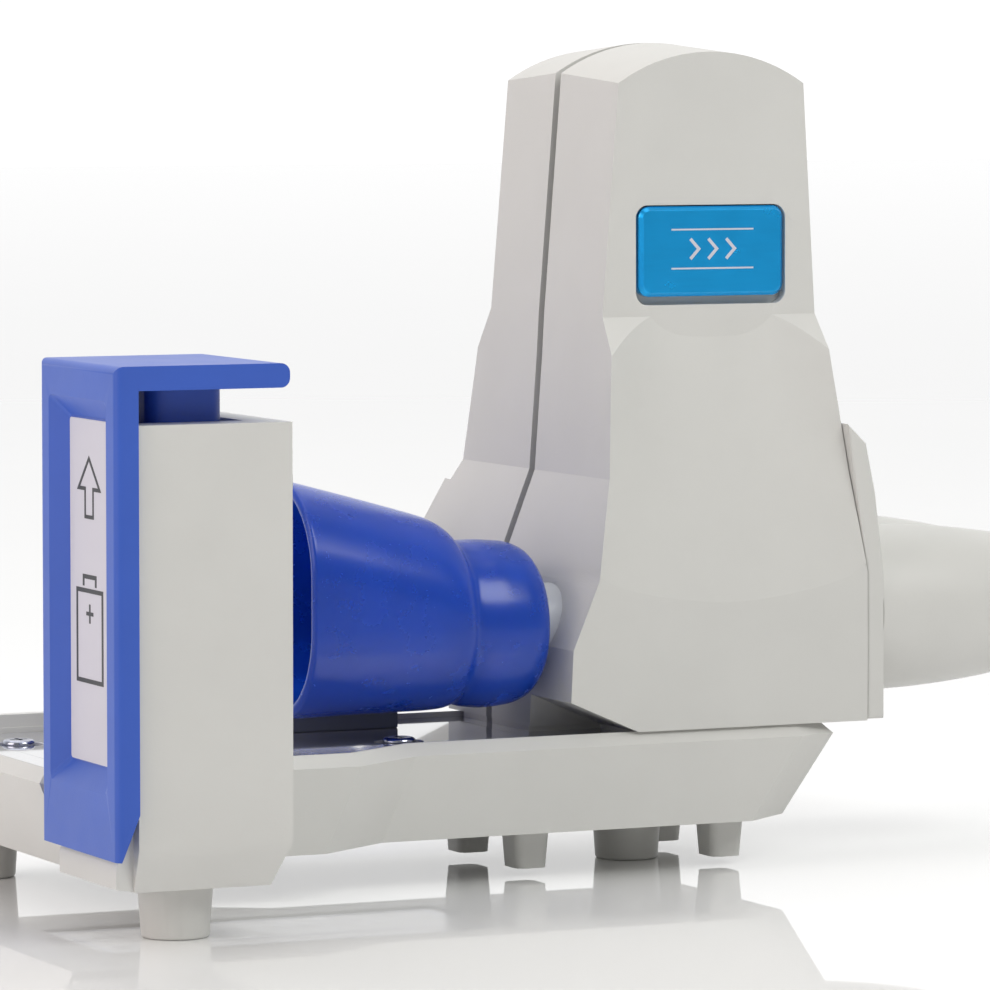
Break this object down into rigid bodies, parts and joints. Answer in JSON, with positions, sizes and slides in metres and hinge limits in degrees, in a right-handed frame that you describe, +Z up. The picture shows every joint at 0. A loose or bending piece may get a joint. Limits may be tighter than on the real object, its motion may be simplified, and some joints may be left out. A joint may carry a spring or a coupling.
{
  "type": "motorized pipette controller",
  "caption": "Bench-standing motorized pipette controller: split tower with face keys, flow cups and nosepieces on a low tray with an upright battery box.",
  "frame": {"origin": "bottom centre of the whole unit, on the bench", "axes": "+X along the flow axes towards the nosepieces, +Y towards the back, +Z up"},
  "size_m": [0.2018, 0.1116, 0.1402],
  "materials": {
    "shell_grey": "warm light grey moulded plastic, fine grain",
    "deck_gloss": "polished light grey plate",
    "rib_blue": "grey-blue plastic",
    "drawer_blue": "blue moulded plastic, satin",
    "cup_blue": "blue soft plastic, satin",
    "key_blue_metal": "azure anodised, bevelled edge",
    "carrier_black": "black plastic",
    "screw_dark": "steel, satin",
    "screw_steel": "steel, satin",
    "foot_grey": "light grey moulded plastic",
    "latch_grey": "mid grey plastic",
    "label_white": "white film label",
    "plate_aluminium": "satin blank plate",
    "board_green": "printed board",
    "contact_brass": "sprung contact",
    "cell_wrap": "shrink-wrapped cells",
    "spacer_white": "natural plastic",
    "pump_white": "natural plastic",
    "rotor_grey": "plastic-bonded magnet, dark grey",
    "motor_steel": "plated can",
    "spigot_grey": "mid grey plastic",
    "filter_white": "pressed membrane",
    "collar_rubber": "soft silicone",
    "wire_red": "insulated wire"
  },
  "bodies": {
    "stand": {"base_tray": "shell_grey", "deck_plate": "deck_gloss", "deck_screws": "screw_dark", "tray_feet": "foot_grey", "rating_plate": "plate_aluminium", "deck_rib": "rib_blue", "power_board": "board_green", "battery_box": "shell_grey", "box_contacts": "contact_brass", "box_latch": "latch_grey", "box_foot": "foot_grey", "gap_spacers": "spacer_white", "tie_screws": "screw_steel", "front_shell": "shell_grey", "front_inner_plate": "shell_grey", "front_control_board": "board_green", "front_switch": "carrier_black", "front_pump_body": "pump_white", "front_pump_lid": "pump_white", "front_motor_mount": "pump_white", "front_motor": "motor_steel", "front_spigot": "spigot_grey", "front_cup": "cup_blue", "front_flange": "shell_grey", "front_nosepiece": "shell_grey", "front_filter_disc": "filter_white", "front_grip_collar": "collar_rubber", "front_wires": "wire_red", "rear_shell": "shell_grey", "rear_inner_plate": "shell_grey", "rear_control_board": "board_green", "rear_switch": "carrier_black", "rear_pump_body": "pump_white", "rear_pump_lid": "pump_white", "rear_motor_mount": "pump_white", "rear_motor": "motor_steel", "rear_spigot": "spigot_grey", "rear_cup": "cup_blue", "rear_flange": "shell_grey", "rear_nosepiece": "shell_grey", "rear_filter_disc": "filter_white", "rear_grip_collar": "collar_rubber", "rear_wires": "wire_red"},
    "battery_drawer": {"battery_drawer": "drawer_blue", "drawer_label": "label_white", "battery_pack": "cell_wrap", "carrier_contacts": "contact_brass"},
    "front_key": {"front_key_plate": "key_blue_metal", "front_key_carrier": "shell_grey"},
    "front_rotor": {"front_drive_hub": "rotor_grey", "front_motor_shaft": "screw_steel"},
    "front_wheel": {"front_impeller": "rotor_grey"},
    "rear_key": {"rear_key_plate": "key_blue_metal", "rear_key_carrier": "shell_grey"},
    "rear_rotor": {"rear_drive_hub": "rotor_grey", "rear_motor_shaft": "screw_steel"},
    "rear_wheel": {"rear_impeller": "rotor_grey"}
  },
  "joints": [
    {"name": "battery_drawer_slide", "type": "slide", "parent": "stand", "child": "battery_drawer", "axis": [0, 0, 1], "range_m": [0, 0.065]},
    {"name": "front_key_press", "type": "slide", "parent": "stand", "child": "front_key", "axis": [0, 1, 0], "range_m": [0, 0.0012], "stiffness_N_per_m": 600, "springref_m": -0.0012},
    {"name": "front_rotor_spin", "type": "hinge", "parent": "stand", "child": "front_rotor", "pos_m": [0.02685, 0.0075, 0.058], "axis": [0, 0, 1], "continuous": true},
    {"name": "front_impeller_spin", "type": "hinge", "parent": "stand", "child": "front_wheel", "pos_m": [0.02685, 0.0075, 0.045], "axis": [0, 0, 1], "continuous": true},
    {"name": "rear_key_press", "type": "slide", "parent": "stand", "child": "rear_key", "axis": [0, -1, 0], "range_m": [0, 0.0012], "stiffness_N_per_m": 600, "springref_m": -0.0012},
    {"name": "rear_rotor_spin", "type": "hinge", "parent": "stand", "child": "rear_rotor", "pos_m": [0.02685, 0.0365, 0.058], "axis": [0, 0, 1], "continuous": true},
    {"name": "rear_impeller_spin", "type": "hinge", "parent": "stand", "child": "rear_wheel", "pos_m": [0.02685, 0.0365, 0.045], "axis": [0, 0, 1], "continuous": true}
  ],
  "couplings": [
    {"joint": "front_rotor_spin", "follows": "front_impeller_spin", "ratio": 1},
    {"joint": "rear_rotor_spin", "follows": "rear_impeller_spin", "ratio": 1}
  ]
}
